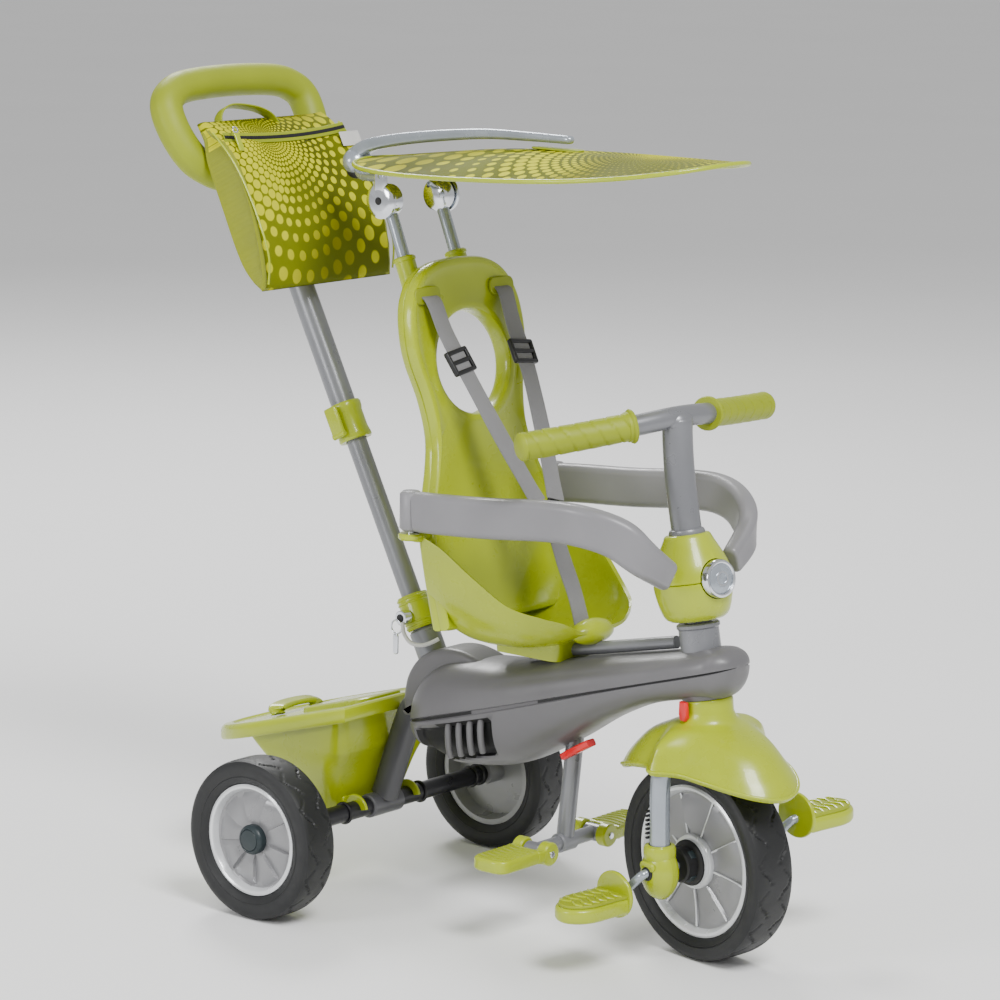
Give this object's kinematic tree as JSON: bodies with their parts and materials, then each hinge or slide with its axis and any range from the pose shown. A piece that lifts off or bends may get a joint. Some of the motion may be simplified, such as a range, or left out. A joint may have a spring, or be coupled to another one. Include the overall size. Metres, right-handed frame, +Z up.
{
  "type": "children's tricycle",
  "caption": "Push-along pedal tricycle with bucket seat, safety armrests, tilting sun canopy, telescopic parent handle with bag, folding foot rests and rear bin.",
  "frame": {"origin": "on the ground, at the middle of the outline seen from above", "axes": "+Z up; -Y towards the front wheel; +X towards the rider's left, along the rear axle"},
  "size_m": [0.415, 0.7678, 0.8411],
  "materials": {
    "green_gloss": "smooth moulded yellow-green plastic",
    "grey_shell": "satin mid-grey moulded plastic",
    "light_grey": "satin light grey plastic",
    "painted_steel": "grey powder coat",
    "black_steel": "black powder coat",
    "silver_fork": "silver lacquer",
    "bright_steel": "polished plating",
    "tyre": "matt black foam rubber with sipes",
    "rim": "silver-grey moulded plastic",
    "cap": "dark slate cap",
    "red": "glossy red",
    "webbing": "woven grey webbing",
    "black_plastic": "satin black",
    "print_fabric": "olive polyester with pale dots",
    "white_cord": "braided white cord",
    "foam": "green foam sleeve"
  },
  "bodies": {
    "frame": {"upper_shell": "grey_shell", "lower_shell": "grey_shell", "main_frame": "painted_steel", "rear_bridge": "light_grey", "head_tube": "painted_steel", "seat_rail": "painted_steel", "rear_axle_tube": "black_steel", "rear_axle_rod": "bright_steel", "footrest_post": "painted_steel", "footrest_cross_tube": "painted_steel", "seat_shell": "green_gloss", "seat_back": "green_gloss", "canopy_post_right": "silver_fork", "canopy_post_left": "silver_fork", "harness_strap_right": "webbing", "harness_strap_left": "webbing", "harness_buckle": "black_plastic", "crotch_strap": "webbing", "pole_lower": "painted_steel", "pole_collar": "green_gloss"},
    "steering": {"fork": "silver_fork", "fender": "green_gloss", "handlebar": "painted_steel", "steering_cover_upper": "green_gloss", "steering_cover_lower": "green_gloss", "grip_right": "green_gloss", "grip_left": "green_gloss", "axle_cover_right": "green_gloss", "axle_cover_left": "green_gloss"},
    "badge": {"badge_button": "silver_fork"},
    "clutch_lever": {"clutch_lever": "red"},
    "front_wheel": {"front_tyre": "tyre", "front_rim": "rim"},
    "crank": {"crank_axle": "silver_fork"},
    "pedal_right": {"pedal_right": "green_gloss"},
    "pedal_left": {"pedal_left": "green_gloss"},
    "rear_wheel_right": {"rear_tyre_right": "tyre", "rear_rim_right": "rim", "hub_cap_right": "cap"},
    "rear_wheel_left": {"rear_tyre_left": "tyre", "rear_rim_left": "rim", "hub_cap_left": "cap"},
    "armrest_right": {"armrest_right": "light_grey"},
    "armrest_left": {"armrest_left": "light_grey"},
    "foot_plate_right": {"foot_plate_right": "green_gloss"},
    "foot_plate_left": {"foot_plate_left": "green_gloss"},
    "footrest_latch": {"footrest_latch": "red"},
    "lock_pin": {"lock_pin": "bright_steel", "pin_clip": "bright_steel", "tether_cord": "white_cord"},
    "push_handle": {"pole_upper": "painted_steel", "pole_clamp": "green_gloss", "handle_grip": "foam", "bag_body": "print_fabric"},
    "clamp_lever": {"clamp_lever": "green_gloss"},
    "zip_puller": {"zip_puller": "green_gloss"},
    "canopy": {"canopy_fabric": "print_fabric", "canopy_frame": "silver_fork"},
    "bin": {"bin_tub": "green_gloss"},
    "bin_lid": {"bin_lid": "green_gloss"}
  },
  "joints": [
    {"name": "steer", "type": "hinge", "parent": "frame", "child": "steering", "pos_m": [0, -0.26364, 0.32532], "axis": [0, 0.1822, 0.9833], "range_deg": [-22, 40]},
    {"name": "steering_button", "type": "slide", "parent": "steering", "child": "badge", "axis": [0.1942, 0.9645, -0.1788], "range_m": [0, 0.003], "stiffness_N_per_m": 300, "springref_m": -0.002},
    {"name": "clutch_turn", "type": "hinge", "parent": "steering", "child": "clutch_lever", "pos_m": [-0.03221, -0.26835, 0.26015], "axis": [0.981, -0.191, 0.0354], "range_deg": [-20, 20]},
    {"name": "front_wheel_spin", "type": "hinge", "parent": "steering", "child": "front_wheel", "pos_m": [0.00586, -0.2752, 0.10042], "axis": [0.981, -0.191, 0.0354], "continuous": true},
    {"name": "crank_spin", "type": "hinge", "parent": "steering", "child": "crank", "pos_m": [0.00586, -0.2752, 0.10042], "axis": [0.981, -0.191, 0.0354], "continuous": true},
    {"name": "pedal_right_spin", "type": "hinge", "parent": "crank", "child": "pedal_right", "pos_m": [-0.11616, -0.2269, 0.06992], "axis": [0.981, -0.191, 0.0354], "continuous": true},
    {"name": "pedal_left_spin", "type": "hinge", "parent": "crank", "child": "pedal_left", "pos_m": [0.12788, -0.3235, 0.13092], "axis": [0.981, -0.191, 0.0354], "continuous": true},
    {"name": "rear_wheel_right_spin", "type": "hinge", "parent": "frame", "child": "rear_wheel_right", "pos_m": [-0.1855, 0.14336, 0.0825], "axis": [1, 0, 0], "continuous": true},
    {"name": "rear_wheel_left_spin", "type": "hinge", "parent": "frame", "child": "rear_wheel_left", "pos_m": [0.1855, 0.14336, 0.0825], "axis": [1, 0, 0], "continuous": true},
    {"name": "armrest_right_swing", "type": "hinge", "parent": "frame", "child": "armrest_right", "pos_m": [-0.114, 0.01036, 0.427], "axis": [0, 0, 1], "range_deg": [-85, 0]},
    {"name": "armrest_left_swing", "type": "hinge", "parent": "frame", "child": "armrest_left", "pos_m": [0.114, 0.01036, 0.427], "axis": [0, 0, 1], "range_deg": [0, 85]},
    {"name": "foot_plate_right_fold", "type": "hinge", "parent": "frame", "child": "foot_plate_right", "pos_m": [-0.048, -0.10164, 0.086], "axis": [0, 1, 0], "range_deg": [0, 80]},
    {"name": "foot_plate_left_fold", "type": "hinge", "parent": "frame", "child": "foot_plate_left", "pos_m": [0.048, -0.10164, 0.086], "axis": [0, 1, 0], "range_deg": [-80, 0]},
    {"name": "footrest_latch_pull", "type": "hinge", "parent": "frame", "child": "footrest_latch", "pos_m": [-0.0185, -0.11464, 0.1807], "axis": [1, 0, 0], "range_deg": [0, 25], "stiffness_Nm_per_rad": 0.05, "springref_deg": -17.19},
    {"name": "pin_pull", "type": "slide", "parent": "frame", "child": "lock_pin", "axis": [-1, 0, 0], "range_m": [0, 0.038]},
    {"name": "handle_height", "type": "slide", "parent": "frame", "child": "push_handle", "axis": [0, 0.4535, 0.8912], "range_m": [-0.09, 0.05]},
    {"name": "clamp_lever_open", "type": "hinge", "parent": "push_handle", "child": "clamp_lever", "pos_m": [-0.0224, 0.18702, 0.47046], "axis": [0, -0.8912, 0.4535], "range_deg": [0, 75]},
    {"name": "zip_slide", "type": "slide", "parent": "push_handle", "child": "zip_puller", "axis": [1, 0, 0], "range_m": [0, 0.16]},
    {"name": "canopy_tilt", "type": "hinge", "parent": "frame", "child": "canopy", "pos_m": [0, 0.10936, 0.722], "axis": [1, 0, 0], "range_deg": [-45, 28]},
    {"name": "bin_tip", "type": "hinge", "parent": "frame", "child": "bin", "pos_m": [0, 0.14336, 0.0825], "axis": [1, 0, 0], "range_deg": [-20, 0]},
    {"name": "bin_lid_open", "type": "hinge", "parent": "bin", "child": "bin_lid", "pos_m": [0, 0.12136, 0.188], "axis": [1, 0, 0], "range_deg": [0, 40]}
  ],
  "couplings": [
    {"joint": "crank_spin", "follows": "front_wheel_spin", "ratio": 1}
  ]
}
